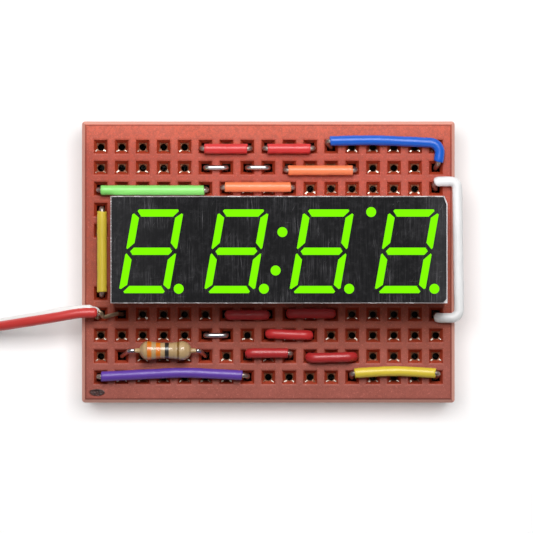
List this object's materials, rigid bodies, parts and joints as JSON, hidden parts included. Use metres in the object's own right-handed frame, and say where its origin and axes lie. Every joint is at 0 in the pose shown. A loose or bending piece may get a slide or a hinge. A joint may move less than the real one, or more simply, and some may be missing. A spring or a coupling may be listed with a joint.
{
  "type": "seven segment display module",
  "caption": "Lit green seven segment display plugged into a small red solderless board, wired with coloured jumpers, a resistor and two leads.",
  "frame": {"origin": "centre of the underside of the pad's paper, on the surface that the board lies on", "axes": "+X along the row of digits as read, +Y towards the rear edge, +Z out of the display's face"},
  "size_m": [0.0827, 0.0447, 0.0164],
  "materials": {
    "red_board_plastic": "moulded ABS, fine speckle",
    "plated_spring_clip": "tin-plated phosphor bronze",
    "foam_tape": "closed-cell foam",
    "liner_paper": "waxed paper",
    "white_housing_plastic": "moulded, satin",
    "black_face_film": "brushed and scratched",
    "lit_green_resin": "diffused epoxy, lit",
    "display_board_laminate": "epoxy laminate",
    "die_crystal": "semiconductor crystal",
    "tinned_pin": "tinned",
    "red_sleeve_plastic": "PVC",
    "tinned_wire": "tinned copper",
    "orange_sleeve_plastic": "PVC",
    "blue_sleeve_plastic": "PVC",
    "green_sleeve_plastic": "PVC",
    "white_sleeve_plastic": "PVC",
    "yellow_sleeve_plastic": "PVC",
    "purple_sleeve_plastic": "PVC",
    "resistor_coat": "lacquer",
    "resistor_band_paint": "paint rings, orange, orange, black and gold",
    "white_lead_plastic": "PVC",
    "red_lead_plastic": "PVC",
    "tie_plastic": "coated paper strip"
  },
  "bodies": {
    "root": {"breadboard_body": "red_board_plastic", "rear_bank_clips": "plated_spring_clip", "front_bank_clips": "plated_spring_clip", "adhesive_foam_pad": "foam_tape", "release_liner": "liner_paper", "display_housing": "white_housing_plastic", "display_face_film": "black_face_film", "digit_1_light_guides": "lit_green_resin", "digit_2_light_guides": "lit_green_resin", "digit_3_light_guides": "lit_green_resin", "digit_4_light_guides": "lit_green_resin", "colon_light_guides": "lit_green_resin", "apostrophe_light_guide": "lit_green_resin", "display_circuit_board": "display_board_laminate", "led_dies": "die_crystal", "display_pins_rear_row": "tinned_pin", "display_pins_front_row": "tinned_pin", "red_jumper_a_sleeve": "red_sleeve_plastic", "red_jumper_a_wire": "tinned_wire", "red_jumper_b_sleeve": "red_sleeve_plastic", "red_jumper_b_wire": "tinned_wire", "red_jumper_c_sleeve": "red_sleeve_plastic", "red_jumper_c_wire": "tinned_wire", "red_jumper_d_sleeve": "red_sleeve_plastic", "red_jumper_d_wire": "tinned_wire", "red_jumper_e_sleeve": "red_sleeve_plastic", "red_jumper_e_wire": "tinned_wire", "red_jumper_f_sleeve": "red_sleeve_plastic", "red_jumper_f_wire": "tinned_wire", "red_jumper_g_sleeve": "red_sleeve_plastic", "red_jumper_g_wire": "tinned_wire", "orange_jumper_a_sleeve": "orange_sleeve_plastic", "orange_jumper_a_wire": "tinned_wire", "orange_jumper_b_sleeve": "orange_sleeve_plastic", "orange_jumper_b_wire": "tinned_wire", "blue_jumper_sleeve": "blue_sleeve_plastic", "blue_jumper_wire": "tinned_wire", "green_jumper_sleeve": "green_sleeve_plastic", "green_jumper_wire": "tinned_wire", "white_jumper_sleeve": "white_sleeve_plastic", "white_jumper_wire": "tinned_wire", "yellow_jumper_a_sleeve": "yellow_sleeve_plastic", "yellow_jumper_a_wire": "tinned_wire", "yellow_jumper_b_sleeve": "yellow_sleeve_plastic", "yellow_jumper_b_wire": "tinned_wire", "purple_jumper_sleeve": "purple_sleeve_plastic", "purple_jumper_wire": "tinned_wire", "bare_link_a": "tinned_wire", "bare_link_b": "tinned_wire", "bare_link_c": "tinned_wire", "resistor_body": "resistor_coat", "resistor_bands": "resistor_band_paint", "resistor_leads": "tinned_wire", "lead_bare_ends": "tinned_wire", "white_lead_curl": "white_lead_plastic", "red_lead": "red_lead_plastic", "white_lead": "white_lead_plastic", "red_lead_coil": "red_lead_plastic", "white_lead_coil": "white_lead_plastic", "lead_tie": "tie_plastic"}
  },
  "joints": []
}
